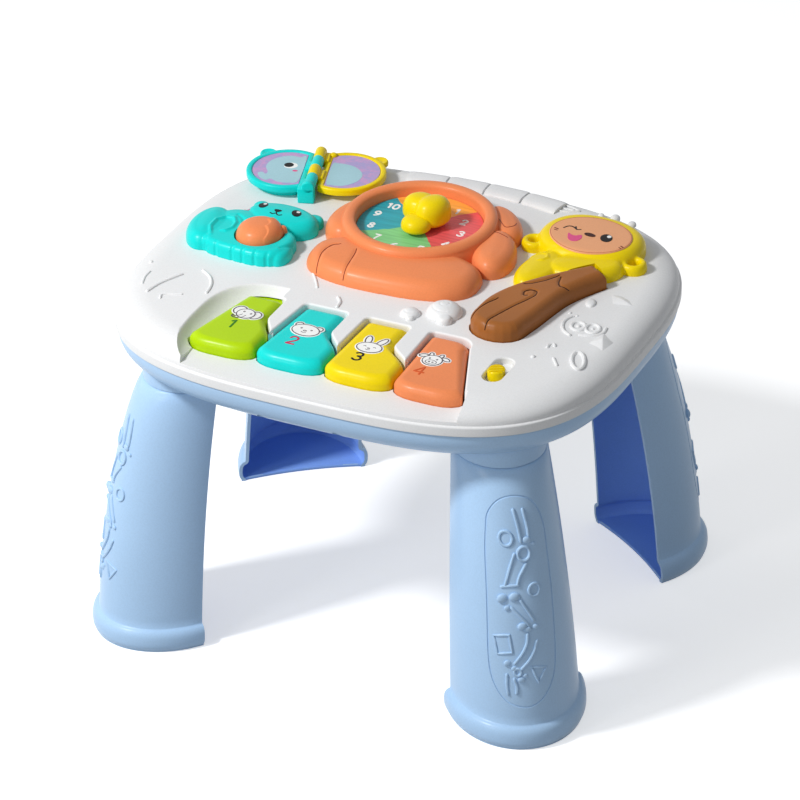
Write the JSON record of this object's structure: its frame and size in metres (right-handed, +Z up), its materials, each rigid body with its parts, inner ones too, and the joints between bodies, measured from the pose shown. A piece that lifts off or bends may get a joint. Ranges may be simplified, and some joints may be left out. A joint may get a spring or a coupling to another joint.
{
  "type": "musical activity table",
  "caption": "Baby activity table: domed rounded top with piano keys, dial knob, flip book, animal buttons and switch, on a tray with splayed C-section legs.",
  "frame": {"origin": "on the floor, below the middle of the feet and of the top", "axes": "+X along the key side (the longest side), keys on the -Y side, +Z up (the shortest extent)"},
  "size_m": [0.358, 0.306, 0.2735],
  "materials": {
    "cover_plastic": "satin",
    "base_plastic": "satin",
    "green_plastic": "gloss",
    "cyan_plastic": "gloss",
    "yellow_plastic": "gloss",
    "orange_plastic": "gloss",
    "brown_plastic": "satin",
    "face_plastic": "satin",
    "dial_print": "printed",
    "page_print": "printed",
    "steel": "satin",
    "pad_rubber": "matte",
    "switch_metal": "satin",
    "board": "matte",
    "speaker_black": "matte",
    "cell_wrap": "gloss"
  },
  "bodies": {
    "table": {"top_cover": "cover_plastic", "base_tray": "base_plastic", "leg_front_left": "base_plastic", "leg_front_right": "base_plastic", "leg_back_left": "base_plastic", "leg_back_right": "base_plastic", "key_pivot_rod": "steel", "key_pads": "pad_rubber", "fox_surround": "orange_plastic", "dial_face": "dial_print", "squirrel_body": "cyan_plastic", "acorn_spring": "steel", "book_base_page": "cyan_plastic", "book_base_print": "page_print", "book_pin": "steel", "monkey_body": "yellow_plastic", "monkey_face": "face_plastic", "log_springs": "steel", "slide_switch": "switch_metal", "circuit_board": "board", "button_boards": "board", "button_pads": "pad_rubber", "speaker": "speaker_black", "battery_cells": "cell_wrap", "battery_contacts": "steel", "battery_door": "base_plastic", "door_screw": "steel", "case_screws": "steel", "figure_screws": "steel"},
    "key_1": {"key_1": "green_plastic"},
    "key_2": {"key_2": "cyan_plastic"},
    "key_3": {"key_3": "yellow_plastic"},
    "key_4": {"key_4": "orange_plastic"},
    "knob": {"dial_knob": "yellow_plastic", "knob_washer": "steel"},
    "acorn": {"acorn_button": "orange_plastic"},
    "log": {"log_button": "brown_plastic"},
    "page": {"book_page": "yellow_plastic", "book_page_print": "page_print"},
    "switch": {"switch_slider": "yellow_plastic"}
  },
  "joints": [
    {"name": "key_1_press", "type": "hinge", "parent": "table", "child": "key_1", "pos_m": [-0.0707, -0.05, 0.232], "axis": [1, 0, 0], "range_deg": [0, 2.6], "stiffness_Nm_per_rad": 0.9, "springref_deg": -2.86, "deforming": ["key_pads"]},
    {"name": "key_2_press", "type": "hinge", "parent": "table", "child": "key_2", "pos_m": [-0.0217, -0.05, 0.232], "axis": [1, 0, 0], "range_deg": [0, 2.6], "stiffness_Nm_per_rad": 0.9, "springref_deg": -2.86},
    {"name": "key_3_press", "type": "hinge", "parent": "table", "child": "key_3", "pos_m": [0.0273, -0.05, 0.232], "axis": [1, 0, 0], "range_deg": [0, 2.6], "stiffness_Nm_per_rad": 0.9, "springref_deg": -2.86},
    {"name": "key_4_press", "type": "hinge", "parent": "table", "child": "key_4", "pos_m": [0.0763, -0.05, 0.232], "axis": [1, 0, 0], "range_deg": [0, 2.6], "stiffness_Nm_per_rad": 0.9, "springref_deg": -2.86},
    {"name": "knob_turn", "type": "hinge", "parent": "table", "child": "knob", "pos_m": [-0.0097, 0.0539, 0.2635], "axis": [0, 0, 1], "continuous": true},
    {"name": "acorn_press", "type": "slide", "parent": "table", "child": "acorn", "axis": [0, 0, -1], "range_m": [0, 0.003], "stiffness_N_per_m": 300, "springref_m": -0.002, "deforming": ["acorn_spring", "button_pads"]},
    {"name": "log_press", "type": "slide", "parent": "table", "child": "log", "axis": [0, 0, -1], "range_m": [0, 0.0025], "stiffness_N_per_m": 600, "springref_m": -0.002, "deforming": ["log_springs"]},
    {"name": "page_turn", "type": "hinge", "parent": "table", "child": "page", "pos_m": [-0.101, 0.07, 0.2555], "axis": [0.2924, -0.9563, 0], "range_deg": [0, 180]},
    {"name": "switch_slide", "type": "slide", "parent": "table", "child": "switch", "axis": [0, 1, 0], "range_m": [-0.002, 0.008]}
  ]
}
